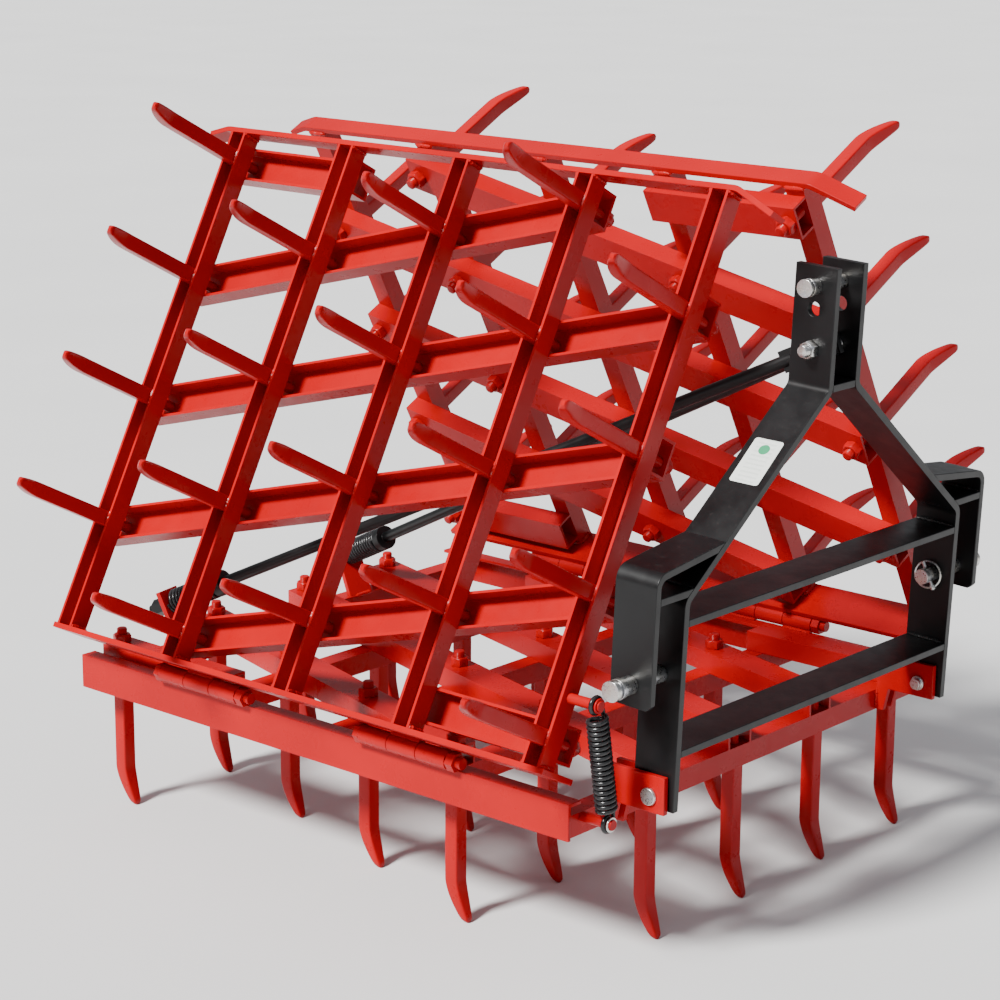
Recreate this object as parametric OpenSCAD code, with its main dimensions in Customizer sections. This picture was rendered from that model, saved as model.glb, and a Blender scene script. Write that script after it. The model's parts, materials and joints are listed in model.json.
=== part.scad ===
// Folding three-point lawn dethatcher (tine harrow), wings folded for transport.
// Frame: +X to the right, -Y to the tractor, +Z up, tine tips on z = 0.

/* [Tine layout] */
// pitch of the tines along a bar
tine_pitch = 190; // [170:0.5:200]
// spacing of the five tine bars, rear to front
row_step = 222.5; // [200:0.5:240]
// length of a wing's tine bars
section_w = 772; // [760:1:790]

/* [Bars] */
// width of a tine bar
bar_w = 30; // [30:0.5:32]
// height of a tine bar
bar_h = 30; // [28:0.5:32]
// width of a crossbar
cross_w = 50; // [44:0.5:54]
// wall of every channel
wall = 4; // [3:0.5:4]
// height of a side rail
rail_h = 50; // [46:0.5:52]
// inward flange of a side rail
rail_flange = 25; // [20:0.5:25]
// half length of a side rail
rail_half = 467; // [465:0.5:470]
// outer face of a side rail from the middle
rail_x = 408; // [408:0.5:409]
// thickness of the flat bars on a wing
flat_t = 8; // [6:0.5:8]

/* [Tines] */
// side of the square tine shank
tine_s = 21.5; // [18:0.5:21.5]
// reach of a tine below its bar
tine_drop = 190; // [180:0.5:200]
// forward set of the tine tip
tine_rake = 23; // [18:0.5:28]
// radius of the threaded stud
stud_r = 8; // [7:0.25:8]
// width across flats of the nuts
nut_af = 24; // [22:0.5:24]
// height of a nut
nut_h = 13; // [10:0.5:14]

/* [Hinges] */
// hinge axis from the middle
hinge_x = 412; // [411:0.5:413]
// outer radius of a hinge tube
hinge_r = 13; // [12:0.25:13]
// half length of one hinge tube
knuckle_half = 25.5; // [24:0.5:28]
// fold of a wing from working to transport
fold_angle = 118; // [112:0.5:120]

/* [Hitch] */
// width of the hitch bars
hitch_w = 64.5; // [60:0.5:70]
// thickness of the hitch bars
hitch_t = 10; // [8:0.5:10]
// middle of an upright from the centre
upright_x = 311; // [309:0.5:312]
// middle of a clevis plate from the centre
clevis_x = 371; // [368:0.5:374]
// middle of a mast plate from the centre
mast_x = 30; // [30:0.5:31]
// height of the knee above the pivot
knee_h = 262; // [258:0.5:266]
// height of the mast foot above the pivot
mast_foot_h = 485; // [480:0.5:490]
// height of the mast top above the pivot
mast_top_h = 646; // [642:0.5:652]
// lower link pin above the pivot
link_h = 162; // [158:0.5:168]
// lower link pin to top link pin
mast_height = 457; // [450:0.5:460]
// forward lean of the hitch
lean = 2.5; // [2:0.25:3]

/* [Springs] */
// mean radius of an over-centre spring
tension_r = 12; // [10:0.25:12]
// mean radius of a stay spring
stay_spring_r = 16; // [14:0.25:17]
// radius of a stay rod
stay_r = 8.5; // [8:0.25:9]

/* [Hidden] */
$fn = 48;
run = 0.08;
eps = 0.01;
bend_steps = 5;
rows = 5;
row_mid = 42.5;
row_end = (rows - 1) / 2 * row_step + bar_w / 2;
stagger = tine_pitch / 3;
edge = (section_w - 11 * stagger) / 2;
stack_h = 2 * bar_h;
bar_z = tine_drop;
rail_top = bar_z + rail_h;
hinge_z = rail_top + hinge_r;
hinge_gap = 1;
wing_gap = hinge_r + hinge_gap + flat_t;
hinge_bar_h = hinge_z - bar_z + 3;
rear_hinge_y = 203;
front_hinge_y = -192;
knuckle_step = 2 * knuckle_half + hinge_gap;
skid_front = [29, 66];
skid_rear = [11, 33];
pivot_y = -530;
pivot_z = 245;
pivot_r = 8;
lug_t = 8;
lug_gap = 1.5;
lug_front = pivot_y - 24;
lug_low = pivot_z - 21;
lug_high = pivot_z + 29;
bar_r = 9.5;
link_r = 11;
top_h = link_h + mast_height;
spare_h = top_h - 30;
stay_bolt_h = top_h - 83;
stay_eye_x = 10.5;
stay_eye_t = 8;
anchor = [372, 214];
anchor_r = 7;
anchor_end = row_end + 51;
cotter_in = 3.5;
spring_y = -(row_end + 42);
stay_wire = 5;
tension_wire = 6;
coil_start = 18;
stay_coils = 14;
tension_coils = 20;
upper_u = 116;
stay_collar_s = 96;
washer_t = 3;
bracket_t = 8;
bracket_w = 44;
slot_r = 10;
slot_play = 8;
left_bracket_x = 233;
right_bracket_x = 150;
bracket_y = row_end + 4;
bracket_z = 281;

// place of a row of tines, row 0 at the rear
function row_y(i) = ((rows - 1) / 2 - i) * row_step;

// x of the tine that diagonal k crosses in row i
function tine_x(k, i) = edge + k * tine_pitch - i * stagger;

// diagonals as [k, first row, last row]
diagonals = [[1, 0, 3], [2, 0, 4], [3, 0, 4], [4, 1, 4]];

// height on the leaning hitch, in the part's own frame
function hitch_point(h) = [pivot_y - h * sin(lean), pivot_z + h * cos(lean)];

// a path's corners rounded to a radius
function unit(v) = v / norm(v);
function cross2(a, b) = a[0] * b[1] - a[1] * b[0];
function corner(a, b, c, r) =
    let (
        u = unit(a - b),
        v = unit(c - b),
        half = acos(u * v) / 2,
        centre = b + unit(u + v) * r / sin(half),
        from = b + u * r / tan(half) - centre,
        start = atan2(from[1], from[0]),
        sweep = (180 - 2 * half) * sign(cross2(b - a, c - b))
    )
    [for (k = [0 : bend_steps])
        let (t = start + sweep * k / bend_steps)
        centre + r * [cos(t), sin(t)]];
function rounded(p, r) = concat(
    [p[0]],
    [for (i = [1 : len(p) - 2]) each corner(p[i - 1], p[i], p[i + 1], r)],
    [p[len(p) - 1]]);

// outline of a flat bar that follows a path
function normal2(a, b) = [a[1] - b[1], b[0] - a[0]] / norm(b - a);
function mitre(n, m) = (n + m) / (1 + n * m);
function side_of(p, i) =
    i == 0 ? normal2(p[0], p[1])
    : i == len(p) - 1 ? normal2(p[i - 1], p[i])
    : mitre(normal2(p[i - 1], p[i]), normal2(p[i], p[i + 1]));
function ribbon(p, half) = concat(
    [for (i = [0 : len(p) - 1]) p[i] + half * side_of(p, i)],
    [for (i = [len(p) - 1 : -1 : 0]) p[i] - half * side_of(p, i)]);

// a channel along x, open side down
module channel_x(length) {
    difference() {
        cube([length, bar_w, bar_h]);
        translate([-1, wall, -1])
            cube([length + 2, bar_w - 2 * wall, bar_h - wall + 1]);
    }
}

// a slanted prism between two y levels
module slant(xa, ya, xb, yb, half, height) {
    linear_extrude(height = height)
        polygon([[xa - half, ya], [xa + half, ya], [xb + half, yb], [xb - half, yb]]);
}

// a channel across the bars, open side down, from row a to row b of diagonal k
module crossbar(k, a, b) {
    tilt = stagger / row_step;
    xa = tine_x(k, a) + tilt * bar_w / 2;
    xb = tine_x(k, b) - tilt * bar_w / 2;
    ya = row_y(a) + bar_w / 2;
    yb = row_y(b) - bar_w / 2;
    half = cross_w / 2 * sqrt(1 + tilt * tilt);
    difference() {
        slant(xa, ya, xb, yb, half, bar_h);
        translate([0, 0, -1])
            slant(xa + tilt, ya + 1, xb - tilt, yb - 1, half - wall, bar_h - wall + 1);
        for (i = [a : b])
            translate([tine_x(k, i), row_y(i), 0])
                cylinder(r = stud_r + run, h = bar_h + 1);
    }
}

// short ties at the two edges of a section: [x, first row, last row, row with the tine]
short_ties = [[tine_x(0, 0), 0, 1, 0], [tine_x(5, 4), 3, 4, 4]];

module short_tie(x, a, b, holder) {
    len_y = row_y(a) - row_y(b) + bar_w;
    translate([x, row_y(b) - bar_w / 2, 0])
        difference() {
            translate([-cross_w / 2, 0, 0])
                cube([cross_w, len_y, bar_h]);
            translate([wall - cross_w / 2, -1, -1])
                cube([cross_w - 2 * wall, len_y + 2, bar_h - wall + 1]);
            translate([0, row_y(holder) - row_y(b) + bar_w / 2, 0])
                cylinder(r = stud_r + run, h = bar_h + 1);
        }
}

// every tine position of a section, as children
module at_tines() {
    for (d = diagonals)
        for (i = [d[1] : d[2]])
            translate([tine_x(d[0], i), row_y(i), 0])
                children();
    for (s = short_ties)
        translate([s[0], row_y(s[3]), 0])
            children();
}

module section_bars(extra) {
    difference() {
        for (i = [0 : rows - 1])
            translate([-extra, row_y(i) - bar_w / 2, 0])
                channel_x(section_w + 2 * extra);
        at_tines()
            cylinder(r = stud_r + run, h = bar_h + 1);
    }
}

module section_diagonals() {
    for (d = diagonals)
        translate([0, 0, bar_h])
            crossbar(d[0], d[1], d[2]);
}

module section_ties() {
    for (s = short_ties)
        translate([0, 0, bar_h])
            short_tie(s[0], s[1], s[2], s[3]);
}

// a tine: square shank, bent and drawn to a rounded point, stud above
module tine() {
    half = tine_s / 2;
    top = bar_h - wall;
    bend = -tine_drop + 56;
    tip = -tine_drop;
    intersection() {
        rotate([90, 0, 90])
            translate([0, 0, -half])
                linear_extrude(height = tine_s)
                    polygon([
                        [half, top],
                        [half, bend],
                        [half - 8, bend - 18],
                        [-tine_rake + 7, tip + 6],
                        [-tine_rake + 3.5, tip + 1.5],
                        [-tine_rake, tip],
                        [-tine_rake - 3, tip + 2],
                        [-tine_rake - 3.5, tip + 6],
                        [-half - 6, bend - 22],
                        [-half, bend + 6],
                        [-half, top]
                    ]);
        rotate([90, 0, 0])
            linear_extrude(height = 200, center = true)
                polygon([
                    [half, top],
                    [half, bend],
                    [half - 1.5, bend - 20],
                    [5, tip + 6],
                    [3, tip],
                    [-3, tip],
                    [-5, tip + 6],
                    [-half + 1.5, bend - 20],
                    [-half, bend],
                    [-half, top]
                ]);
    }
    translate([0, 0, top])
        cylinder(r = stud_r, h = stack_h - top + nut_h + 9);
}

module hex_nut(bore) {
    difference() {
        cylinder(r = nut_af / sqrt(3), h = nut_h, $fn = 6);
        translate([0, 0, -1])
            cylinder(r = bore, h = nut_h + 2);
    }
}

module section_nuts() {
    at_tines()
        translate([0, 0, stack_h])
            hex_nut(stud_r + run);
}

// the section frames, each with its left edge at x = 0
module at_centre() {
    translate([-section_w / 2, row_mid, bar_z])
        children();
}

module fold(side) {
    translate([side * hinge_x, row_mid, hinge_z])
        rotate([0, -side * fold_angle, 0])
            translate([-side * hinge_x, 0, -hinge_z])
                children();
}

module at_wing(side) {
    shift = side < 0 ? -(hinge_x + wing_gap + section_w) : hinge_x + wing_gap;
    fold(side)
        translate([shift, 0, bar_z])
            children();
}

// centre frame
module side_rail(side) {
    color("red")
        translate([0, row_mid, 0])
            mirror([side < 0 ? 1 : 0, 0, 0])
                rotate([90, 0, 0])
                    linear_extrude(height = 2 * rail_half, center = true)
                        polygon([
                            [rail_x, bar_z],
                            [rail_x, rail_top],
                            [rail_x - rail_flange, rail_top],
                            [rail_x - rail_flange, rail_top - 5],
                            [rail_x - 5, rail_top - 5],
                            [rail_x - 5, bar_z]
                        ]);
}

module centre_rail_left() {
    side_rail(-1);
}

module centre_rail_right() {
    side_rail(1);
}

module centre_tine_bars() {
    color("red")
        at_centre()
            section_bars(rail_x - 5 - section_w / 2);
}

module centre_diagonals() {
    color("red")
        at_centre()
            section_diagonals();
}

module centre_ties() {
    color("red")
        at_centre()
            section_ties();
}

module centre_tines() {
    color("red")
        at_centre()
            at_tines()
                tine();
}

module centre_nuts() {
    color("red")
        at_centre()
            section_nuts();
}

// a tube along y with its middle at the origin
module tube_y(outer, inner, length) {
    rotate([90, 0, 0])
        difference() {
            cylinder(r = outer, h = length, center = true);
            cylinder(r = inner, h = length + 2, center = true);
        }
}

module at_hinges(side) {
    for (y = [rear_hinge_y, front_hinge_y])
        translate([side * hinge_x, row_mid + y, hinge_z])
            children();
}

// tube that carries a hinge bolt, with the foot that is welded to the rail
module fixed_knuckle(side) {
    foot = hinge_r - 3;
    difference() {
        union() {
            tube_y(hinge_r, pivot_r + run, 2 * knuckle_half);
            translate([side < 0 ? -foot / 2 : -foot * 1.2, -knuckle_half, -hinge_r])
                cube([foot * 1.7, 2 * knuckle_half, 3]);
        }
        rotate([90, 0, 0])
            cylinder(r = pivot_r + run, h = 3 * knuckle_half, center = true);
    }
}

module hinge_fixed_tubes() {
    color("red")
        for (side = [-1, 1])
            at_hinges(side)
                for (end = [-1, 1])
                    translate([0, end * knuckle_step, 0])
                        fixed_knuckle(side);
}

module hinge_bolts() {
    reach = knuckle_step + knuckle_half;
    color("silver")
        for (side = [-1, 1])
            at_hinges(side)
                rotate([90, 0, 0]) {
                    translate([0, 0, -reach])
                        cylinder(r = pivot_r, h = 2 * reach + nut_h + 10);
                    translate([0, 0, -reach - 10])
                        cylinder(r = nut_af / sqrt(3), h = 10, $fn = 6);
                }
}

module hinge_nuts() {
    reach = knuckle_step + knuckle_half;
    color("red")
        for (side = [-1, 1])
            at_hinges(side)
                rotate([90, 0, 0])
                    translate([0, 0, reach + 1])
                        hex_nut(pivot_r + run);
}

// plates on both sides of each upright
module hitch_lugs() {
    inner = hitch_t / 2 + lug_gap;
    back = -row_end;
    color("red")
        for (side = [-1, 1])
            for (at = [-inner - lug_t, inner])
                translate([side * upright_x + at, row_mid, 0])
                    difference() {
                        rotate([90, 0, 90])
                            linear_extrude(height = lug_t)
                                polygon([
                                    [lug_front, lug_low],
                                    [lug_front, lug_high],
                                    [back, lug_high],
                                    [back, bar_z],
                                    [back - 12, bar_z],
                                    [back - 20, lug_low]
                                ]);
                        translate([-1, pivot_y, pivot_z])
                            rotate([0, 90, 0])
                                cylinder(r = pivot_r + run, h = lug_t + 2);
                    }
}

module lug_pins() {
    outer = upright_x + hitch_t / 2 + lug_gap + lug_t;
    inner = upright_x - hitch_t / 2 - lug_gap - lug_t;
    color("silver")
        for (side = [-1, 1])
            translate([0, row_mid + pivot_y, pivot_z])
                mirror([side < 0 ? 1 : 0, 0, 0])
                    rotate([0, 90, 0]) {
                        translate([0, 0, inner - 10])
                            cylinder(r = pivot_r, h = outer - inner + 10);
                        translate([0, 0, outer])
                            cylinder(r1 = 12.5, r2 = 11, h = 4);
                        translate([0, 0, inner - 4])
                            cylinder(r = 10.5, h = 3.5);
                    }
}

// pins that hold the lower ends of the over-centre springs
module spring_anchors() {
    color("red")
        for (side = [-1, 1])
            translate([side * anchor[0], row_mid - row_end, anchor[1]])
                rotate([90, 0, 0])
                    cylinder(r = anchor_r, h = anchor_end - row_end);
}

module cotter() {
    rotate([90, 0, 0])
        difference() {
            cylinder(r = anchor_r + 3, h = 2.5, center = true);
            cylinder(r = anchor_r + run, h = 4, center = true);
        }
}

module anchor_cotters() {
    color("silver")
        for (side = [-1, 1])
            translate([side * anchor[0], row_mid - anchor_end + cotter_in, anchor[1]])
                cotter();
}

// wings
module wing_hinge_bar(side) {
    x = side < 0 ? section_w : -flat_t;
    color("red")
        at_wing(side)
            translate([x, -rail_half, 0])
                cube([flat_t, 2 * rail_half, hinge_bar_h]);
}

module wing_end_bar(side) {
    half = flat_t / 2;
    span = rail_half + 3;
    x = side < 0 ? -half : section_w + half;
    color("red")
        at_wing(side)
            linear_extrude(height = bar_h)
                polygon(ribbon(rounded([
                    [x - side * skid_front[0], -span - skid_front[1]],
                    [x, -span],
                    [x, span],
                    [x - side * skid_rear[0], span + skid_rear[1]]
                ], 30), half));
}

module wing_tubes(side) {
    foot = side < 0 ? -hinge_r - hinge_gap : hinge_r - 3;
    color("red")
        fold(side)
            for (y = [rear_hinge_y, front_hinge_y])
                translate([side * hinge_x, y, hinge_z])
                    difference() {
                        union() {
                            tube_y(hinge_r, pivot_r + run, 2 * knuckle_half);
                            translate([foot, -knuckle_half, -10])
                                cube([3 + hinge_gap, 2 * knuckle_half, 13]);
                        }
                        rotate([90, 0, 0])
                            cylinder(r = pivot_r + run, h = 3 * knuckle_half, center = true);
                    }
}

// a wing's upper spring pin, x counted from the hinge axis
module at_spring_pin(side) {
    fold(side)
        translate([side * (hinge_x + upper_u), -row_end, bar_z + bar_h / 2])
            children();
}

module wing_spring_pin(side) {
    color("red")
        at_spring_pin(side)
            rotate([90, 0, 0])
                cylinder(r = anchor_r, h = anchor_end - row_end);
}

module wing_cotter(side) {
    color("silver")
        at_spring_pin(side)
            translate([0, row_end - anchor_end + cotter_in, 0])
                cotter();
}

module left_hinge_bar() {
    wing_hinge_bar(-1);
}

module left_end_bar() {
    wing_end_bar(-1);
}

module left_tine_bars() {
    color("red")
        at_wing(-1)
            section_bars(0);
}

module left_diagonals() {
    color("red")
        at_wing(-1)
            section_diagonals();
}

module left_ties() {
    color("red")
        at_wing(-1)
            section_ties();
}

module left_tines() {
    color("red")
        at_wing(-1)
            at_tines()
                tine();
}

module left_nuts() {
    color("red")
        at_wing(-1)
            section_nuts();
}

module left_hinge_tubes() {
    wing_tubes(-1);
}

module left_spring_pin() {
    wing_spring_pin(-1);
    wing_cotter(-1);
}

module right_hinge_bar() {
    wing_hinge_bar(1);
}

module right_end_bar() {
    wing_end_bar(1);
}

module right_tine_bars() {
    color("red")
        at_wing(1)
            section_bars(0);
}

module right_diagonals() {
    color("red")
        at_wing(1)
            section_diagonals();
}

module right_ties() {
    color("red")
        at_wing(1)
            section_ties();
}

module right_tines() {
    color("red")
        at_wing(1)
            at_tines()
                tine();
}

module right_nuts() {
    color("red")
        at_wing(1)
            section_nuts();
}

module right_hinge_tubes() {
    wing_tubes(1);
}

module right_spring_pin() {
    wing_spring_pin(1);
    wing_cotter(1);
}

// hitch: its own frame has the pivot axis on x, leaning forward as a whole
module at_hitch() {
    translate([0, row_mid + pivot_y, pivot_z])
        rotate([lean, 0, 0])
            children();
}

// a flat bar bent along a path of [x, height], as wide as the hitch bars
module hitch_bar(path) {
    rotate([90, 0, 0])
        linear_extrude(height = hitch_w, center = true)
            polygon(ribbon(rounded(path, 16), hitch_t / 2));
}

// x of a leg's outer face at a height above the knee's bend
leg_slope = (mast_foot_h - knee_h) / (upright_x - mast_x);
knee_rise = hitch_t / 2 * tan((90 - atan(leg_slope)) / 2);
function leg_face(h) = upright_x + hitch_t / 2 - (h - knee_h - knee_rise) / leg_slope;

// a hole through the hitch along x at a height
module cross_hole(h, r) {
    translate([0, 0, h])
        rotate([0, 90, 0])
            cylinder(r = r, h = 1000, center = true);
}

module hitch_leg(side) {
    color("dimgray")
        at_hitch()
            difference() {
                hitch_bar([
                    [side * upright_x, -17],
                    [side * upright_x, knee_h],
                    [side * mast_x, mast_foot_h],
                    [side * mast_x, mast_top_h]
                ]);
                cross_hole(0, pivot_r + run);
                cross_hole(link_h, link_r + run);
                cross_hole(stay_bolt_h, pivot_r + run);
                cross_hole(spare_h, bar_r + 0.25);
                cross_hole(top_h, bar_r + run);
            }
}

module left_leg() {
    hitch_leg(-1);
}

module right_leg() {
    hitch_leg(1);
}

module hitch_clevis(side) {
    corner_h = knee_h + 42;
    over = knee_h + 90;
    foot = link_h - 29;
    cut = 7;
    color("dimgray")
        at_hitch()
            difference() {
                hitch_bar([
                    [side * clevis_x, foot],
                    [side * clevis_x, corner_h],
                    [side * (upright_x - 82), corner_h + 18]
                ]);
                rotate([90, 0, 0])
                    linear_extrude(height = hitch_w + 2, center = true)
                        polygon([
                            [side * leg_face(knee_h), knee_h],
                            [side * leg_face(over), over],
                            [0, over],
                            [0, knee_h]
                        ]);
                for (end = [-1, 1])
                    translate([side * clevis_x, end * hitch_w / 2, foot])
                        rotate([45, 0, 0])
                            cube([hitch_t + 2, cut * sqrt(2), cut * sqrt(2)], center = true);
                cross_hole(link_h, link_r + run);
            }
}

module left_clevis() {
    hitch_clevis(-1);
}

module right_clevis() {
    hitch_clevis(1);
}

module hitch_gussets() {
    outer = clevis_x - hitch_t / 2;
    low = knee_h + 6;
    high = low + hitch_t;
    color("dimgray")
        at_hitch()
            rotate([90, 0, 0])
                linear_extrude(height = hitch_w, center = true)
                    for (side = [-1, 1])
                        polygon([
                            [side * outer, low],
                            [side * outer, high],
                            [side * leg_face(high), high],
                            [side * leg_face(low), low]
                        ]);
}

module flat_cross(top) {
    half = upright_x - hitch_t / 2;
    color("dimgray")
        at_hitch()
            translate([-half, -hitch_w / 2, top - hitch_t])
                cube([2 * half, hitch_w, hitch_t]);
}

module middle_crossbar() {
    flat_cross(knee_h - 24);
}

module lower_crossbar() {
    flat_cross(65);
}

module mast_tie() {
    half = mast_x - hitch_t / 2;
    color("dimgray")
        at_hitch()
            translate([-half, -hitch_w / 2, mast_foot_h - 2])
                cube([2 * half, hitch_w, hitch_t]);
}

// a link pin's double-collar head, from the plate outwards
module collar_head(r, length) {
    cylinder(r = r + 1, h = length * 0.5);
    translate([0, 0, length * 0.5 - eps])
        cylinder(r = r + 2.5, h = length * 0.2);
    translate([0, 0, length * 0.7 - 2 * eps])
        cylinder(r = r - 1, h = length * 0.12 + 3 * eps);
    translate([0, 0, length * 0.82])
        cylinder(r = r + 2.5, h = length * 0.18);
}

module ring_at(z, r) {
    translate([0, 0, z])
        rotate_extrude()
            translate([r, 0])
                circle(r = 2);
}

module lower_link_pins() {
    outer = clevis_x + hitch_t / 2;
    inner = upright_x - hitch_t / 2 - 26;
    color("silver")
        at_hitch()
            for (side = [-1, 1])
                translate([0, 0, link_h])
                    mirror([side < 0 ? 1 : 0, 0, 0])
                        rotate([0, 90, 0]) {
                            translate([0, 0, inner])
                                cylinder(r = link_r, h = outer - inner);
                            translate([0, 0, outer])
                                collar_head(link_r, 40);
                        }
}

module top_link_pin() {
    outer = mast_x + hitch_t / 2;
    color("silver")
        at_hitch()
            translate([0, 0, top_h])
                rotate([0, -90, 0]) {
                    translate([0, 0, -outer - 26])
                        cylinder(r = bar_r, h = 2 * outer + 26);
                    translate([0, 0, outer])
                        collar_head(bar_r, 25);
                }
}

module linch_pins() {
    inner = upright_x - hitch_t / 2 - 8;
    color("silver")
        at_hitch() {
            for (side = [-1, 1])
                translate([side * inner, 0, link_h])
                    rotate([0, side * 90, 0])
                        ring_at(0, link_r + 2.2);
            translate([mast_x + hitch_t / 2 + 10, 0, top_h])
                rotate([0, 90, 0])
                    ring_at(0, bar_r + 2.2);
        }
}

module stay_bolt() {
    outer = mast_x + hitch_t / 2;
    color("silver")
        at_hitch()
            translate([0, 0, stay_bolt_h])
                rotate([0, 90, 0]) {
                    translate([0, 0, -outer - 1])
                        cylinder(r = pivot_r, h = 2 * outer + 20);
                    translate([0, 0, -outer - 10])
                        cylinder(r = nut_af / sqrt(3), h = 10, $fn = 6);
                    translate([0, 0, outer])
                        cylinder(r = nut_af / sqrt(3), h = nut_h, $fn = 6);
                }
}

module rating_label() {
    run_x = upright_x - mast_x;
    run_z = mast_foot_h - knee_h;
    length = norm([run_x, run_z]);
    color("white")
        at_hitch()
            translate([-upright_x, 0, knee_h])
                rotate([0, -atan2(run_z, run_x), 0])
                    translate([length * 0.52, -22, hitch_t / 2])
                        cube([74, 44, 0.6]);
}

// stays: each frame has the eye at the origin and the rod along +z
stay_top = hitch_point(stay_bolt_h);
stay_eye = [stay_eye_x, stay_top[0], stay_top[1]];

// from a stay's eye to the slot in its bracket
function stay_run(side) =
    [side < 0 ? left_bracket_x : right_bracket_x, bracket_y, bracket_z] - stay_eye;
function stay_len(side) = norm(stay_run(side));

module at_stay(side) {
    way = stay_run(side);
    translate([0, row_mid, 0])
        mirror([side < 0 ? 1 : 0, 0, 0])
            translate(stay_eye)
                rotate([0, acos(way[2] / stay_len(side)), atan2(way[1], way[0])])
                    children();
}

module stay_rod(side) {
    neck = 44;
    collar_z = stay_len(side) - stay_collar_s;
    color("dimgray")
        difference() {
            at_stay(side) {
                translate([-15, -stay_eye_t / 2, -15])
                    cube([30, stay_eye_t, neck + 31]);
                translate([0, 0, neck])
                    cylinder(r = stay_r, h = collar_z - neck);
                translate([0, 0, collar_z - 14])
                    cylinder(r = stay_spring_r + 3, h = 14);
                translate([0, 0, collar_z - 1])
                    cylinder(r = pivot_r, h = stay_collar_s + 40);
            }
            translate([0, row_mid + stay_eye[1], stay_eye[2]])
                rotate([0, 90, 0])
                    cylinder(r = pivot_r + run, h = 100, center = true);
        }
}

module stay_nut(side) {
    color("dimgray")
        at_stay(side)
            translate([0, 0, stay_len(side) + bracket_t / 2 + washer_t + 1])
                difference() {
                    union() {
                        translate([0, 0, -washer_t])
                            cylinder(r = 15, h = washer_t);
                        cylinder(r = nut_af / sqrt(3), h = 22, $fn = 6);
                    }
                    translate([0, 0, -washer_t - 1])
                        cylinder(r = pivot_r + run, h = 40);
                }
}

// coils of wire stacked along z
module coils(r, gauge, first, last, count) {
    step = (last - first) / (count - 1);
    for (i = [0 : count - 1])
        translate([0, 0, first + i * step])
            rotate_extrude()
                translate([r, 0])
                    circle(r = gauge / 2);
}

module stay_spring(side) {
    color("dimgray")
        at_stay(side)
            coils(stay_spring_r, stay_wire, stay_len(side) - stay_collar_s + stay_wire / 2,
                stay_len(side) - bracket_t / 2 - stay_wire / 2 - 0.5, stay_coils);
}

module left_stay() {
    stay_rod(-1);
}

module right_stay() {
    stay_rod(1);
}

module left_stay_nut() {
    stay_nut(-1);
}

module right_stay_nut() {
    stay_nut(1);
}

module left_stay_spring() {
    stay_spring(-1);
}

module right_stay_spring() {
    stay_spring(1);
}

// rear brackets: a leaning plate, square to the stay that slides through its slot
module stay_brackets() {
    color("red")
        for (side = [-1, 1])
            difference() {
                at_stay(side)
                    translate([-22, -bracket_w / 2, stay_len(side) - bracket_t / 2])
                        cube([110, bracket_w, bracket_t]);
                at_stay(side) {
                    for (play = [0, slot_play])
                        translate([0, play, stay_len(side) - bracket_t])
                            cylinder(r = slot_r, h = 2 * bracket_t);
                    translate([-slot_r, 0, stay_len(side) - bracket_t])
                        cube([2 * slot_r, slot_play, 2 * bracket_t]);
                }
                translate([-500, 0, 0])
                    cube([1000, 900, bar_z + bar_h]);
            }
}

// over-centre springs: each frame has the lower pin at the origin, axis on +z
upper_n = hinge_z - bar_z - bar_h / 2;
upper_x = hinge_x + upper_u * cos(fold_angle) + upper_n * sin(fold_angle);
upper_z = hinge_z + upper_u * sin(fold_angle) - upper_n * cos(fold_angle);
spring_run = [upper_x - anchor[0], upper_z - anchor[1]];
spring_len = norm(spring_run);
spring_tilt = atan2(spring_run[0], spring_run[1]);

module tension_spring(side) {
    hook = anchor_r + tension_wire / 2 + 0.3;
    color("dimgray")
        translate([side * anchor[0], row_mid + spring_y, anchor[1]])
            rotate([0, side * spring_tilt, 0]) {
                coils(tension_r, tension_wire, coil_start, spring_len - coil_start, tension_coils);
                for (z = [0, spring_len])
                    translate([0, 0, z])
                        rotate([90, 0, 0])
                            rotate_extrude()
                                translate([hook, 0])
                                    circle(r = tension_wire / 2);
            }
}

module left_tension_spring() {
    tension_spring(-1);
}

module right_tension_spring() {
    tension_spring(1);
}

centre_rail_left();
centre_rail_right();
centre_tine_bars();
centre_diagonals();
centre_ties();
centre_tines();
centre_nuts();
hinge_fixed_tubes();
hinge_bolts();
hinge_nuts();
hitch_lugs();
lug_pins();
spring_anchors();
anchor_cotters();
stay_brackets();
left_hinge_bar();
left_end_bar();
left_tine_bars();
left_diagonals();
left_ties();
left_tines();
left_nuts();
left_hinge_tubes();
left_spring_pin();
right_hinge_bar();
right_end_bar();
right_tine_bars();
right_diagonals();
right_ties();
right_tines();
right_nuts();
right_hinge_tubes();
right_spring_pin();
left_leg();
right_leg();
left_clevis();
right_clevis();
hitch_gussets();
middle_crossbar();
lower_crossbar();
mast_tie();
lower_link_pins();
top_link_pin();
linch_pins();
stay_bolt();
rating_label();
left_stay();
right_stay();
left_stay_nut();
right_stay_nut();
left_stay_spring();
right_stay_spring();
left_tension_spring();
right_tension_spring();
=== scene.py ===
"""Looks of a folding three-point lawn dethatcher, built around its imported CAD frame."""
import json
import math
import random

import bmesh
import bpy
from mathutils import Matrix, Vector


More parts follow.
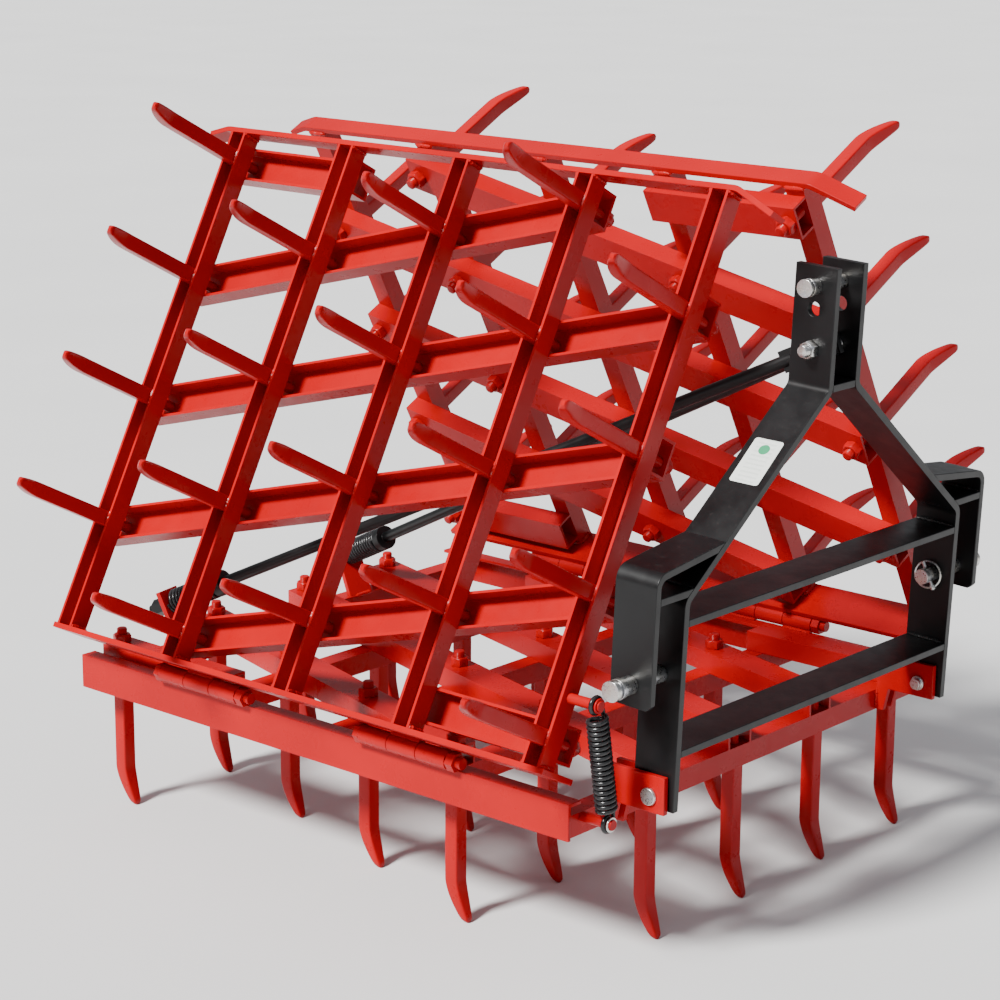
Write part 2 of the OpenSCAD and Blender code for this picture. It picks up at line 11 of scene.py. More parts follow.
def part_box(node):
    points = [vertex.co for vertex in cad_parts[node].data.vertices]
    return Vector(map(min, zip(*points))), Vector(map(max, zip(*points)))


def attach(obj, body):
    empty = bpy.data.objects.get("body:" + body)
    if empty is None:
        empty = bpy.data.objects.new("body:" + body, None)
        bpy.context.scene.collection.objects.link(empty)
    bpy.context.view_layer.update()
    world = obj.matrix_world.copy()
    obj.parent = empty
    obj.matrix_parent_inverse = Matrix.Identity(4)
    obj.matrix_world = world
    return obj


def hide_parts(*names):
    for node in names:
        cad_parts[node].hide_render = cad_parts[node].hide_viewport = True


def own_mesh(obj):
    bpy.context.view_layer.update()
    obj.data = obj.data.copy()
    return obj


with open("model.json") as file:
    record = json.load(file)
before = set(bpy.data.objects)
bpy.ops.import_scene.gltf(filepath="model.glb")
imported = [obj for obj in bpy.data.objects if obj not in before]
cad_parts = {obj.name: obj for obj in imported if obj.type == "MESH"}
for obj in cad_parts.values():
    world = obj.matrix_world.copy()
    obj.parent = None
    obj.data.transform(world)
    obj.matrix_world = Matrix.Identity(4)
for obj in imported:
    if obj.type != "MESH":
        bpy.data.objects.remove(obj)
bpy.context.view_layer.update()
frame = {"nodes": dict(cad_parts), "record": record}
nodes = frame["nodes"]
joints = {j["name"]: j for j in frame["record"]["behaviour"]["joints"]}
dice = random.Random(7)

MM = 0.001
HITCH_LEAN = math.radians(2.5)  # the hitch's lean from upright at rest, top to the front
SIDES = {"left": -1, "right": 1}

# colours, linear
RED = (0.33, 0.0004, 0.0026)
RED_LIGHT = (0.40, 0.0008, 0.0032)
BLACK = (0.0012, 0.0012, 0.0014)
ZINC = (0.60, 0.61, 0.64)


# --- measuring the frame -------------------------------------------------------------

def centre(box):
    """Middle of a (low, high) box."""
    return (box[0] + box[1]) / 2


def unfold(wing):
    """The turn that lays a folded wing flat beside the centre section."""
    joint = joints[wing + "_wing_fold"]
    pivot = Vector(joint["pos_m"])
    angle = math.radians(joint["range_deg"][1])
    turn = Matrix.Rotation(angle, 4, Vector(joint["axis"]))
    return Matrix.Translation(pivot) @ turn @ Matrix.Translation(-pivot)


def solids(node, turn=Matrix.Identity(4)):
    """Boxes (low, high) of the separate solids of a CAD node, measured after a turn."""
    mesh = nodes[node].data
    spots = {}
    index = [spots.setdefault(tuple(round(c, 5) for c in v.co), len(spots))
             for v in mesh.vertices]
    parent = list(range(len(spots)))

    def root(i):
        while parent[i] != i:
            parent[i] = parent[parent[i]]
            i = parent[i]
        return i

    for face in mesh.polygons:
        first = root(index[face.vertices[0]])
        for v in face.vertices[1:]:
            parent[root(index[v])] = first
    groups = {}
    for v, i in zip(mesh.vertices, index):
        groups.setdefault(root(i), []).append(turn @ v.co)
    return [(Vector(map(min, zip(*g))), Vector(map(max, zip(*g)))) for g in groups.values()]


# --- mesh building -------------------------------------------------------------------

class Shape:
    """Vertices and faces of one piece, gathered from several solids."""

    def __init__(self):
        self.verts = []
        self.faces = []

    def skin(self, rings, closed=False):
        """Joins rings of points, all of one length, into a tube with its ends capped."""
        start = len(self.verts)
        n = len(rings[0])
        for ring in rings:
            self.verts.extend(ring)
        last = len(rings) if closed else len(rings) - 1
        for a in range(last):
            b = (a + 1) % len(rings)
            for i in range(n):
                j = (i + 1) % n
                self.faces.append((start + a * n + i, start + a * n + j,
                                   start + b * n + j, start + b * n + i))
        if not closed:
            self.faces.append(tuple(start + i for i in range(n)))
            self.faces.append(tuple(start + (len(rings) - 1) * n + i for i in range(n)))

    def sweep(self, path, radius, sides=10, closed=False):
        """A round wire along a path. radius is a number or a function of the point's index."""
        count = len(path)
        tangents = []
        for i in range(count):
            before = path[i - 1] if (i or closed) else path[i]
            after = path[(i + 1) % count] if (i < count - 1 or closed) else path[i]
            tangents.append((after - before).normalized())
        across = tangents[0].orthogonal().normalized()
        rings = []
        for i, (point, along) in enumerate(zip(path, tangents)):
            across = (across - along * across.dot(along)).normalized()
            up = along.cross(across)
            r = radius(i) if callable(radius) else radius
            rings.append([point + r * (math.cos(t) * across + math.sin(t) * up)
                          for t in (2 * math.pi * k / sides for k in range(sides))])
        self.skin(rings, closed)

    def turned(self, profile, place, sides=16):
        """A round part from a profile of (radius, height), about +Z of a placing matrix."""
        rings = [[place @ Vector((r * math.cos(t), r * math.sin(t), z))
                  for t in (2 * math.pi * k / sides for k in range(sides))]
                 for r, z in profile]
        self.skin(rings)

    def bead(self, a, b, radius=3.2 * MM):
        """A weld bead from a to b, with the ripples of its pool."""
        length = (b - a).length
        steps = max(4, round(length / (2.4 * MM)))
        path = []
        sizes = []
        for i in range(steps + 1):
            t = i / steps
            wander = Vector([dice.uniform(-0.35, 0.35) * MM for _ in range(3)])
            path.append(a.lerp(b, t) + wander)
            end = min(1.0, 0.45 + 4 * min(t, 1 - t))
            sizes.append(radius * end * (1.0 + 0.13 * (-1) ** i + dice.uniform(-0.08, 0.08)))
        self.sweep(path, lambda i: sizes[i], sides=8)


def piece(name, shape, body, material, stands_for=(), place=None, crease=38):
    """Makes a shown piece of a shape and lets it ride on a CAD body."""
    mesh = bpy.data.meshes.new(name)
    mesh.from_pydata([tuple(v) for v in shape.verts], [], shape.faces)
    work = bmesh.new()
    work.from_mesh(mesh)
    bmesh.ops.recalc_face_normals(work, faces=work.faces)
    work.to_mesh(mesh)
    work.free()
    mesh.materials.append(material)
    mesh.shade_smooth()
    mesh.set_sharp_from_angle(angle=math.radians(crease))
    made = bpy.data.objects.new(name, mesh)
    bpy.context.scene.collection.objects.link(made)
    if place is not None:
        made.matrix_world = place
    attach(made, body)
    if stands_for:
        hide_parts(*stands_for)
    return made


def aimed(origin, axis):
    """A matrix at origin whose +Z points along axis."""
    return Matrix.Translation(origin) @ Vector(axis).to_track_quat("Z", "Y").to_matrix().to_4x4()


# --- materials -----------------------------------------------------------------------

class Nodes:
    """Short calls for making a material's node tree."""

    def __init__(self, name):
        self.material = bpy.data.materials.new(name)
        self.material.use_nodes = True
        self.tree = self.material.node_tree
        self.shader = self.tree.nodes["Principled BSDF"]
        self.where = self.add("ShaderNodeTexCoord").outputs["Object"]

    def add(self, kind, **settings):
        node = self.tree.nodes.new(kind)
        for key, value in settings.items():
            setattr(node, key, value)
        return node

    def link(self, a, b):
        self.tree.links.new(a, b)

    def noise(self, scale, detail=3.0, rough=0.5, where=None):
        node = self.add("ShaderNodeTexNoise")
        node.inputs["Scale"].default_value = scale
        node.inputs["Detail"].default_value = detail
        node.inputs["Roughness"].default_value = rough
        self.link(where or self.where, node.inputs["Vector"])
        return node.outputs["Fac"]

    def spread(self, value, low, high, to_low=0.0, to_high=1.0):
        node = self.add("ShaderNodeMapRange")
        node.inputs["From Min"].default_value = low
        node.inputs["From Max"].default_value = high
        node.inputs["To Min"].default_value = to_low
        node.inputs["To Max"].default_value = to_high
        self.link(value, node.inputs["Value"])
        return node.outputs["Result"]

    def mix(self, factor, a, b):
        node = self.add("ShaderNodeMix", data_type="RGBA")
        for socket, value in ((node.inputs[0], factor), (node.inputs[6], a), (node.inputs[7], b)):
            if hasattr(value, "is_output"):
                self.link(value, socket)
            elif isinstance(value, tuple):
                socket.default_value = (*value, 1.0)
            else:
                socket.default_value = value
        return node.outputs[2]

    def math(self, operation, a, b=0.0):
        node = self.add("ShaderNodeMath", operation=operation)
        for socket, value in zip(node.inputs, (a, b)):
            if hasattr(value, "is_output"):
                self.link(value, socket)
            else:
                socket.default_value = value
        return node.outputs[0]

    def bump(self, height, distance, strength=1.0, under=None):
        node = self.add("ShaderNodeBump")
        node.inputs["Distance"].default_value = distance
        node.inputs["Strength"].default_value = strength
        self.link(height, node.inputs["Height"])
        if under:
            self.link(under, node.inputs["Normal"])
        return node.outputs["Normal"]

    def edges(self, radius):
        """Mask for the painted edge highlights: 1 on convex and concave edges, 0 on flats."""
        bevel = self.add("ShaderNodeBevel", samples=6)
        bevel.inputs["Radius"].default_value = radius
        flat = self.add("ShaderNodeNewGeometry").outputs["Normal"]
        dot = self.add("ShaderNodeVectorMath", operation="DOT_PRODUCT")
        self.link(bevel.outputs["Normal"], dot.inputs[0])
        self.link(flat, dot.inputs[1])
        return self.spread(dot.outputs["Value"], 1.0, 0.86)

    def upward(self):
        """1 on surfaces that face up, 0 on the rest."""
        split = self.add("ShaderNodeSeparateXYZ")
        self.link(self.add("ShaderNodeNewGeometry").outputs["Normal"], split.inputs[0])
        return self.spread(split.outputs["Z"], 0.55, 0.95)

    def painted_corner_shade(self, distance):
        """Mask of painted shade: 1 deep in corners, 0 in the open."""
        node = self.add("ShaderNodeAmbientOcclusion", samples=4)
        node.inputs["Distance"].default_value = distance
        return self.spread(node.outputs["AO"], 0.85, 0.25)


def red_enamel():
    """Glossy sprayed enamel: orange peel, uneven thickness, a painted highlight of lighter red
    along the edges, dusty on top.
    """
    n = Nodes("red_enamel")
    cloud = n.spread(n.noise(4.5, 4, 0.55), 0.35, 0.65)
    colour = n.mix(cloud, RED, RED_LIGHT)
    # painted highlight: lighter red on every edge, partly standing for thinner paint there
    colour = n.mix(n.math("MULTIPLY", n.edges(1.0 * MM), 0.30), colour, (0.60, 0.012, 0.010))
    specks = n.spread(n.noise(310, 2, 0.6), 0.68, 0.76, 0.0, 0.30)
    colour = n.mix(n.math("MULTIPLY", specks, n.upward()), colour, (0.42, 0.06, 0.05))
    n.link(colour, n.shader.inputs["Base Color"])
    n.link(n.spread(n.noise(38, 5, 0.6), 0.3, 0.7, 0.24, 0.36), n.shader.inputs["Roughness"])
    peel = n.bump(n.noise(420, 2, 0.4), 0.06 * MM, 0.5)
    wave = n.bump(n.noise(34, 2, 0.4), 0.20 * MM, 0.25, peel)
    n.link(wave, n.shader.inputs["Normal"])
    n.shader.inputs["Specular IOR Level"].default_value = 0.17
    return n.material


def black_coat():
    """Satin powder coat: a fine grain, a painted highlight with faint scuffs along the edges, and
    dust on the upper faces.
    """
    n = Nodes("black_coat")
    cloud = n.spread(n.noise(7, 4, 0.6), 0.3, 0.7)
    colour = n.mix(cloud, BLACK, (0.0036, 0.0036, 0.0040))
    # painted highlight along all edges, together with faint scuffing
    edge_highlight_and_wear = n.math("MULTIPLY", n.edges(1.4 * MM), 0.5)
    colour = n.mix(edge_highlight_and_wear, colour, (0.016, 0.018, 0.018))
    dust = n.spread(n.noise(120, 4, 0.7), 0.58, 0.76, 0.0, 0.22)
    colour = n.mix(n.math("MULTIPLY", dust, n.upward()), colour, (0.09, 0.085, 0.08))
    n.link(colour, n.shader.inputs["Base Color"])
    n.link(n.spread(n.noise(24, 5, 0.65), 0.3, 0.7, 0.30, 0.46), n.shader.inputs["Roughness"])
    grain = n.bump(n.noise(1100, 2, 0.5), 0.07 * MM, 0.6)
    wave = n.bump(n.noise(60, 2, 0.4), 0.35 * MM, 0.3, grain)
    n.link(wave, n.shader.inputs["Normal"])
    n.shader.inputs["Specular IOR Level"].default_value = 0.34
    return n.material


def zinc_plate():
    """Bright zinc: brushed turning marks, a cool and a warm tint, and painted shade that dulls it
    in corners.
    """
    n = Nodes("zinc_plate")
    n.shader.inputs["Metallic"].default_value = 1.0
    cloud = n.spread(n.noise(60, 4, 0.6), 0.35, 0.65)
    colour = n.mix(cloud, ZINC, (0.66, 0.63, 0.56))
    # painted shade: the zinc is darkened in corners, where less light reaches
    colour = n.mix(n.math("MULTIPLY", n.painted_corner_shade(6 * MM), 0.6), colour, (0.22, 0.22, 0.23))
    n.link(colour, n.shader.inputs["Base Color"])
    n.link(n.spread(n.noise(300, 3, 0.6), 0.3, 0.7, 0.22, 0.42), n.shader.inputs["Roughness"])
    n.link(n.bump(n.noise(700, 3, 0.6), 0.05 * MM, 0.6), n.shader.inputs["Normal"])
    return n.material


def spring_coat():
    """Gloss black dip on spring wire, its tone varying a little at random."""
    n = Nodes("spring_coat")
    cloud = n.spread(n.noise(90, 3, 0.6), 0.35, 0.7)
    colour = n.mix(cloud, (0.006, 0.006, 0.007), (0.020, 0.020, 0.021))
    n.link(colour, n.shader.inputs["Base Color"])
    n.link(n.spread(n.noise(200, 3, 0.6), 0.3, 0.7, 0.16, 0.32), n.shader.inputs["Roughness"])
    n.link(n.bump(n.noise(500, 2, 0.5), 0.06 * MM, 0.5), n.shader.inputs["Normal"])
    n.shader.inputs["Specular IOR Level"].default_value = 0.40
    return n.material


def pale_floor():
    """Plain pale studio floor with a barely seen mottle."""
    n = Nodes("pale_floor")
    cloud = n.spread(n.noise(1.5, 3, 0.5), 0.3, 0.7)
    n.link(n.mix(cloud, (0.62, 0.62, 0.62), (0.65, 0.65, 0.65)), n.shader.inputs["Base Color"])
    n.shader.inputs["Roughness"].default_value = 0.85
    n.shader.inputs["Specular IOR Level"].default_value = 0.1
    return n.material


red = red_enamel()
black = black_coat()
zinc = zinc_plate()
spring_black = spring_coat()


# --- CAD nodes: rounded edges and their materials ------------------------------------

def finish_cad():
    """Gives every CAD node its material, joined corners and small rounded edges."""
    finishes = {"red_paint": red, "black_paint": black, "zinc": zinc,
                "spring_black": spring_black, "label": zinc}
    slots = {s["node"]: s["material_slot"] for s in frame["record"]["subparts"]}
    for name, node in nodes.items():
        node.data.materials.clear()
        node.data.materials.append(finishes[slots[name]])
        joined = node.modifiers.new("joined", "WELD")
        joined.merge_threshold = 0.02 * MM
        flat = node.modifiers.new("flat", "DECIMATE")
        flat.decimate_type = "DISSOLVE"
        flat.angle_limit = math.radians(0.4)
        rounded = node.modifiers.new("rounded", "BEVEL")
        rounded.width = (1.1 if slots[name] == "black_paint" else 0.8) * MM
        rounded.segments = 2
        rounded.limit_method = "ANGLE"
        rounded.angle_limit = math.radians(40)
        rounded.harden_normals = False
        even = node.modifiers.new("even", "WEIGHTED_NORMAL")
        even.weight = 100
        even.keep_sharp = False


finish_cad()


# --- tines, studs and nuts -----------------------------------------------------------

TINE_BEND = 58 * MM      # height above the ground where the tine starts to bend
TINE_RAKE = 22.5 * MM    # how far forward its point lies
THREAD_PITCH = 2.0 * MM
THREAD_DEPTH = 0.75 * MM
STUD_RADIUS = 8 * MM
NUT_BORE = 7.9 * MM
BEAD_INSET = 1.5 * MM    # how far weld beads lie in from a bar's end


def tine_rings(x, y, top, half):
    """Rings of a square tine that bends forward and draws down to a rounded point."""
    levels = [top, TINE_BEND + 20 * MM] + [TINE_BEND * (1 - k / 14) for k in range(14)]
    levels += [2.4 * MM, 1.0 * MM, 0.2 * MM]
    rings = []
    for z in levels:
        down = max(0.0, 1 - z / TINE_BEND)
        forward = TINE_RAKE * (down ** 1.45)
        tip = min(1.0, (z + 1.0 * MM) / (6 * MM)) ** 0.5
        wide = half * (1 - 0.46 * down ** 2.0) * tip
        deep = half * (1 - 0.50 * down ** 2.4) * tip
        power = 11.0 - 7.0 * down
        ring = []
        for k in range(24):
            t = 2 * math.pi * (k + 0.5) / 24
            c, s = math.cos(t), math.sin(t)
            ring.append(Vector((x + wide * math.copysign(abs(c) ** (2 / power), c),
                                y - forward + deep * math.copysign(abs(s) ** (2 / power), s),
                                z)))
        rings.append(ring)
    return rings


def thread_rings(x, y, low, high, radius):
    """Rings of a threaded stud with a chamfered end."""
    steps = round((high - low) / THREAD_PITCH * 4)
    rings = []
    for i in range(steps + 1):
        z = low + (high - low) * i / steps
        cut = max(0.0, 1 - (high - z) / (1.5 * MM)) * 1.2 * MM
        ring = []
        for k in range(20):
            phase = (z / THREAD_PITCH - k / 20) % 1.0
            ridge = abs(2 * phase - 1) * THREAD_DEPTH
            r = radius - THREAD_DEPTH + ridge - cut
            t = 2 * math.pi * k / 20
            ring.append(Vector((x + r * math.cos(t), y + r * math.sin(t), z)))
        rings.append(ring)
    return rings


def nut_rings(place, low, high, flats):
    """Rings of a hex nut whose corners are turned down at both ends."""
    corner = flats / 3 ** 0.5
    levels = [(low, 0.48 * flats), (low + 1.2 * MM, corner), (high - 2.2 * MM, corner),
              (high - 0.4 * MM, 0.49 * flats), (high, 0.47 * flats)]
    rings = []
    for z, limit in levels:
        ring = []
        for k in range(36):
            t = math.radians(10 * k)
            hexagon = flats / 2 / math.cos(math.radians((10 * k) % 60 - 30))
            r = min(hexagon, limit)
            ring.append(place @ Vector((r * math.cos(t), r * math.sin(t), z)))
        rings.append(ring)
    for r, z in ((NUT_BORE + 1.0 * MM, high), (NUT_BORE, high - 1.0 * MM)):
        rings.append([place @ Vector((r * math.cos(math.radians(10 * k)),
                                      r * math.sin(math.radians(10 * k)), z))
                      for k in range(36)])
    return rings


def section_parts(section, body, turn):
    """Tines, studs, nuts and tine welds of one section, made flat and folded back."""
    back = turn.inverted()
    tines, nuts, welds = Shape(), Shape(), Shape()
    nut_boxes = solids(section + "_nuts", turn)
    bars = solids(section + "_tine_bars", turn)
    web = bars[0][1].z
    rim = bars[0][0].z
    nut_low = min(b[0].z for b in nut_boxes)
    nut_high = max(b[1].z for b in nut_boxes)
    flats = nut_boxes[0][1].y - nut_boxes[0][0].y
    for low, high in solids(section + "_tines", turn):
        half = (high.x - low.x) / 2
        x = (low.x + high.x) / 2
        y = high.y - half
        tines.skin(tine_rings(x, y, web - 4 * MM, half))
        tines.skin(thread_rings(x, y, web - 6 * MM, high.z, STUD_RADIUS))
        spin = Matrix.Translation((x, y, 0)) @ Matrix.Rotation(dice.uniform(0, 1.05), 4, "Z")
        nuts.skin(nut_rings(spin, nut_low, nut_high, flats))
        for s in (-1, 1):
            gap = y + s * (half + 1.0 * MM)
            welds.bead(Vector((x - half, gap, rim + 1 * MM)),
                       Vector((x + half, gap, rim + 1 * MM)), 2.6 * MM)
    for shape in (tines, nuts, welds):
        shape.verts = [back @ v for v in shape.verts]
    piece(section + "_tine_forgings", tines, body, red, [section + "_tines"])
    piece(section + "_hex_nuts", nuts, body, red, [section + "_nuts"])
    piece(section + "_tine_welds", welds, body, red)


section_parts("centre", "centre_frame", Matrix.Identity(4))
for wing in SIDES:
    section_parts(wing, wing + "_wing", unfold(wing))


# --- welds between bars --------------------------------------------------------------

def bar_end_welds(shape, bars, ends):
    """Beads up both flanges and over the web at the ends of the tine bars."""
    for low, high in bars:
        for x, inward in ends:
            for y in (low.y - 0.6 * MM, high.y + 0.6 * MM):
                shape.bead(Vector((x + inward, y, low.z + 1 * MM)),
                           Vector((x + inward, y, high.z)))
            shape.bead(Vector((x + inward, low.y, high.z + 0.4 * MM)),
                       Vector((x + inward, high.y, high.z + 0.4 * MM)))


def wing_welds(wing):
    """Beads where a wing's tine bars meet its hinge bar and end bar."""
    turn = unfold(wing)
    shape = Shape()
    bars = solids(wing + "_tine_bars", turn)
    low = min(b[0].x for b in bars)
    high = max(b[1].x for b in bars)
    bar_end_welds(shape, bars, [(low, BEAD_INSET), (high, -BEAD_INSET)])
    back = turn.inverted()
    shape.verts = [back @ v for v in shape.verts]
    piece(wing + "_frame_welds", shape, wing + "_wing", red)


def centre_welds():
    """Beads on the centre section: bar ends, hinge feet, lugs and stay brackets."""
    shape = Shape()
    bars = solids("centre_tine_bars")
    low = min(b[0].x for b in bars)
    high = max(b[1].x for b in bars)
    bar_end_welds(shape, bars, [(low, BEAD_INSET), (high, -BEAD_INSET)])
    rail_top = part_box("centre_rail_left")[1].z
    for a, b in solids("hinge_fixed_tubes"):
        outward = math.copysign(1, a.x)
        inner = min(abs(a.x), abs(b.x)) + 3 * MM
        shape.bead(Vector((outward * inner, a.y + 3 * MM, rail_top + 1 * MM)),
                   Vector((outward * inner, b.y - 3 * MM, rail_top + 1 * MM)), 2.8 * MM)
    front = min(b[0].y for b in bars)
    for a, b in solids("hitch_lugs"):
        for x in (a.x, b.x):
            shape.bead(Vector((x, front - 0.6 * MM, bars[0][0].z + 2 * MM)),
                       Vector((x, front - 0.6 * MM, bars[0][1].z)), 2.8 * MM)
    top = bars[0][1].z
    for a, b in solids("stay_brackets"):
        foot = a.y + 1 * MM
        shape.bead(Vector((a.x + 8 * MM, foot, top + 1 * MM)),
                   Vector((b.x - 8 * MM, foot, top + 1 * MM)))
    piece("centre_frame_welds", shape, "centre_frame", red)


hitch_place = (Matrix.Translation(joints["hitch_tilt"]["pos_m"])
               @ Matrix.Rotation(HITCH_LEAN, 4, "X"))
hitch_back = hitch_place.inverted()


def hitch_welds():
    """Beads where the flat crossbars and gussets meet the bent legs."""
    shape = Shape()
    for node in ("middle_crossbar", "lower_crossbar", "hitch_gussets"):
        for low, high in solids(node, hitch_back):
            for x, inward in ((low.x, BEAD_INSET), (high.x, -BEAD_INSET)):
                for z in (low.z - 0.8 * MM, high.z + 0.8 * MM):
                    shape.bead(Vector((x + inward, low.y + 3 * MM, z)),
                               Vector((x + inward, high.y - 3 * MM, z)), 3.0 * MM)
    shape.verts = [hitch_place @ v for v in shape.verts]
    piece("hitch_frame_welds", shape, "hitch", black)


centre_welds()
hitch_welds()
for wing in SIDES:
    wing_welds(wing)


# --- springs -------------------------------------------------------------------------

TENSION_WIRE = 3.0 * MM  # wire radius of the over-centre springs
STAY_WIRE = 2.8 * MM     # wire radius of the compression springs
STAY_RING = 2.5 * MM     # wire radius of the rings that stand for them in the CAD
COIL_STEPS = 22


def helix(radius, low, high, turns):
    """Points of an evenly pitched coil about +Z."""
    points = []
    count = round(turns * COIL_STEPS)
    for i in range(count + 1):
        t = i / count
        angle = 2 * math.pi * turns * t
        points.append(Vector((radius * math.cos(angle), radius * math.sin(angle),
                              low + (high - low) * t)))
    return points


def tension_spring(wing):
    """An extension spring with an open loop at each end."""
    rings = sorted(solids(wing + "_tension_spring"), key=lambda b: centre(b).z)
    low, high = centre(rings[0]), centre(rings[-1])
    length = (high - low).length
    loop = (rings[-1][1].z - rings[-1][0].z) / 2 - TENSION_WIRE
    radius = (rings[5][1].y - rings[5][0].y) / 2 - TENSION_WIRE
    first = (centre(rings[1]) - low).length
    turns = len(rings) - 3
    coil = helix(radius, first, length - first, turns)

    def hook(sign, base):
        rise = [Vector((radius, 0, base + sign * (first - loop * 1.1) * k / 4))
                for k in (1, 2, 3)]
        sweep = [2 * math.pi * k / 30 for k in range(25)]
        top = base + sign * first
        round_pin = [Vector((loop * math.cos(a), 0, top + sign * loop * math.sin(a)))
                     for a in sweep]
        return rise + round_pin

    path = list(reversed(hook(-1, first))) + coil + hook(1, length - first)
    shape = Shape()
    shape.sweep(path, TENSION_WIRE, sides=10)
    axis = (high - low).normalized()
    side = Vector((0, 1, 0)).cross(axis).normalized()
    place = Matrix((side, axis.cross(side), axis)).transposed().to_4x4()
    place.translation = low
    spring = piece(wing + "_over_centre_spring", shape, wing + "_spring_assembly",
                   spring_black, [wing + "_tension_spring"], place, crease=80)
    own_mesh(spring)


def stay_spring(wing):
    """A compression spring between a stay's collar and its bracket."""
    rings = sorted(solids(wing + "_stay_spring"), key=lambda b: centre(b).y)
    low, high = centre(rings[0]), centre(rings[-1])
    axis = (high - low).normalized()
    size = rings[0][1] - rings[0][0]
    radius = 0.5 * math.sqrt(size.length_squared / 2) - STAY_RING
    turns = len(rings) - 1
    place = aimed(low, axis)
    shape = Shape()
    path = helix(radius, 0, (high - low).length, turns)
    shape.sweep(path, STAY_WIRE, sides=10)
    spring = piece(wing + "_compression_spring", shape, wing + "_stay_assembly",
                   spring_black, [wing + "_stay_spring"], place, crease=80)
    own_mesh(spring)


for wing in SIDES:
    tension_spring(wing)
    stay_spring(wing)


# --- hitch hardware ------------------------------------------------------------------

KNOB = [(0.6 * MM, -4.5 * MM), (3.6 * MM, -3.2 * MM), (4.6 * MM, 0), (3.6 * MM, 3.2 * MM),
        (2.6 * MM, 4.5 * MM)]


def linch_pins():
    """Linch pins through the link pins' ends: a cross pin with a knob and a snap ring."""
    shape = Shape()
    for low, high in solids("linch_pins", hitch_back):
        middle = (low + high) / 2
        reach = (high.z - low.z) / 2 + 4 * MM
        along = Vector((0, 0.5, 0.87))
        shape.sweep([middle - along * reach, middle + along * reach], 2.6 * MM, sides=12)
        knob = aimed(middle - along * reach, along)
        shape.turned(KNOB, knob)
        hoop = [middle + Vector((0.20 * math.sin(t), math.cos(t) * 0.5 - math.sin(t) * 0.84,
                                 math.cos(t) * 0.87 + math.sin(t) * 0.48)) * reach
                for t in (2 * math.pi * k / 40 for k in range(40))]
        shape.sweep(hoop, 1.4 * MM, sides=8, closed=True)
    shape.verts = [hitch_place @ v for v in shape.verts]
    piece("linch_clips", shape, "hitch", zinc, ["linch_pins"])


def stay_bolt():
    """The bolt that both stays hang on: threaded end and nut on the left, head on the right."""
    low, high = solids("stay_bolt", hitch_back)[0]
    face = -low.x - 10 * MM
    place = (Matrix.Translation((0, (low.y + high.y) / 2, (low.z + high.z) / 2))
             @ Matrix.Rotation(-math.pi / 2, 4, "Y"))
    shape = Shape()
    shape.skin([[place @ v for v in ring]
                for ring in thread_rings(0, 0, -face - 5 * MM, face + 21 * MM, STUD_RADIUS)])
    shape.skin(nut_rings(place, face, face + 12 * MM, 22 * MM))
    shape.skin(nut_rings(place, -face - 10 * MM, -face, 24 * MM))
    shape.verts = [hitch_place @ v for v in shape.verts]
    piece("stay_bolt_and_nut", shape, "hitch", zinc, ["stay_bolt"])


linch_pins()
stay_bolt()


# --- blank rating label --------------------------------------------------------------

def label_film():
    """Pale film with faint blank bands and one plain green dot, and nothing to read."""
    n = Nodes("label_film")
    split = n.add("ShaderNodeSeparateXYZ")
    n.link(n.where, split.inputs[0])
    lines = n.math("SINE", n.math("MULTIPLY", split.outputs["X"], 900.0))
    inside = n.math("LESS_THAN", n.math("ABSOLUTE", split.outputs["Y"]), 14 * MM)
    bands = n.math("MULTIPLY", n.spread(lines, 0.2, 0.4, 0.0, 0.35), inside)
    base = n.mix(n.spread(n.noise(300, 3), 0.3, 0.7), (0.66, 0.70, 0.66), (0.74, 0.77, 0.73))
    colour = n.mix(bands, base, (0.40, 0.45, 0.41))
    off = n.add("ShaderNodeVectorMath", operation="DISTANCE")
    off.inputs[1].default_value = (20 * MM, 0, 0)
    n.link(n.where, off.inputs[0])
    dot = n.math("LESS_THAN", off.outputs["Value"], 8 * MM)
    n.link(n.mix(dot, colour, (0.03, 0.26, 0.12)), n.shader.inputs["Base Color"])
    n.link(n.spread(n.noise(80, 3), 0.3, 0.7, 0.30, 0.45), n.shader.inputs["Roughness"])
    return n.material


def label():
    """The label's film on the slanted leg, with round corners."""
    low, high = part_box("rating_label")
    mesh = nodes["rating_label"].data
    normal = max(mesh.polygons, key=lambda f: f.area).normal.copy()
    if normal.z < 0:
        normal.negate()
    middle = (low + high) / 2
    side = Vector((0, 1, 0))
    side = (side - normal * side.dot(normal)).normalized()
    along = side.cross(normal)
    place = Matrix((along, side, normal)).transposed().to_4x4()
    place.translation = middle
    half_long, half_wide, thick, corner = 37 * MM, 22 * MM, 0.3 * MM, 4 * MM
    outline = []
    for cx, cy, start in ((1, 1, 0), (-1, 1, 90), (-1, -1, 180), (1, -1, 270)):
        for k in range(7):
            a = math.radians(start + 15 * k)
            outline.append((cx * (half_long - corner) + corner * math.cos(a),
                            cy * (half_wide - corner) + corner * math.sin(a)))
    shape = Shape()
    shape.skin([[Vector((x, y, z)) for x, y in outline] for z in (-thick, thick)])
    piece("blank_label", shape, "hitch", label_film(), ["rating_label"], place)


label()


# --- floor, lights and camera --------------------------------------------------------

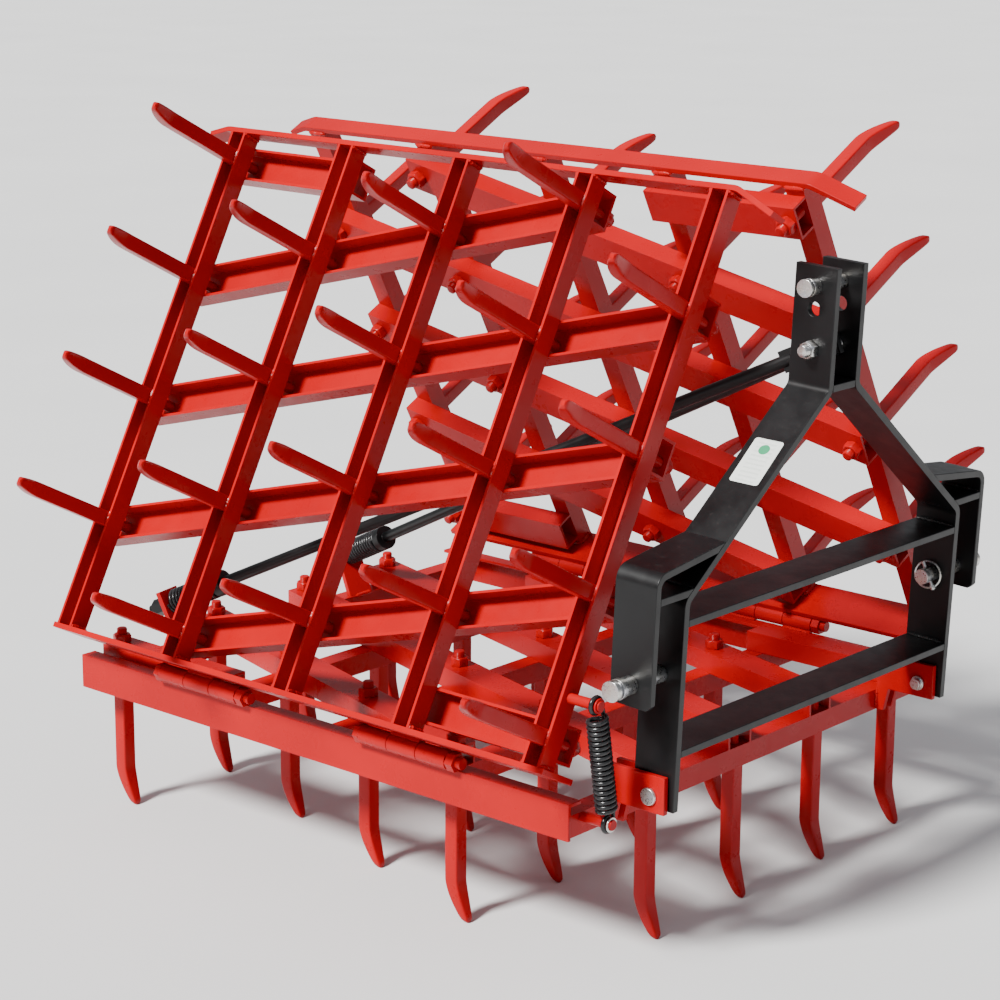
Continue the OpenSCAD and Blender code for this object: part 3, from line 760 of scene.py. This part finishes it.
def stage():
    """Pale floor, and a sky that brightens towards the top."""
    mesh = bpy.data.meshes.new("floor")
    reach = 40
    corners = [(-reach, -reach, 0), (reach, -reach, 0), (reach, reach, 0), (-reach, reach, 0)]
    mesh.from_pydata(corners, [], [(0, 1, 2, 3)])
    mesh.materials.append(pale_floor())
    floor = bpy.data.objects.new("floor", mesh)
    bpy.context.scene.collection.objects.link(floor)
    world = bpy.data.worlds.new("studio")
    world.use_nodes = True
    tree = world.node_tree
    height = tree.nodes.new("ShaderNodeSeparateXYZ")
    tree.links.new(tree.nodes.new("ShaderNodeTexCoord").outputs["Generated"], height.inputs[0])
    brighter = tree.nodes.new("ShaderNodeMapRange")
    brighter.inputs["From Min"].default_value = 0.1
    brighter.inputs["To Min"].default_value = 0.22
    brighter.inputs["To Max"].default_value = 0.80
    tree.links.new(height.outputs["Z"], brighter.inputs["Value"])
    sky = tree.nodes["Background"]
    sky.inputs["Color"].default_value = (0.92, 0.95, 1.0, 1)
    tree.links.new(brighter.outputs["Result"], sky.inputs["Strength"])
    bpy.context.scene.world = world


def broad_light(name, toward, spread, power, colour=(1, 1, 1)):
    """A light so far away that it is even over the floor; spread in degrees softens it."""
    data = bpy.data.lights.new(name, "SUN")
    data.angle = math.radians(spread)
    data.energy = power
    data.color = colour
    made = bpy.data.objects.new(name, data)
    made.rotation_euler = Vector(toward).to_track_quat("Z", "Y").to_euler()
    bpy.context.scene.collection.objects.link(made)


def camera():
    """The camera at the photograph's viewing angle."""
    data = bpy.data.cameras.new("camera")
    data.sensor_width = 36
    data.lens = 97.907
    data.shift_x = -0.0093
    data.shift_y = -0.0051
    data.clip_end = 200
    made = bpy.data.objects.new("camera", data)
    azimuth, elevation, roll = map(math.radians, (-49.0513, 14.1805, 0.4235))
    made.matrix_world = (Matrix.Translation((-2.88699, -2.47325, 1.45383))
                         @ Matrix.Rotation(azimuth, 4, "Z")
                         @ Matrix.Rotation(math.pi / 2 - elevation, 4, "X")
                         @ Matrix.Rotation(roll, 4, "Z"))
    bpy.context.scene.collection.objects.link(made)
    bpy.context.scene.camera = made


stage()
broad_light("key", (-0.70, 0.12, 0.72), 12, 9.0, (1.0, 0.99, 0.97))
camera()
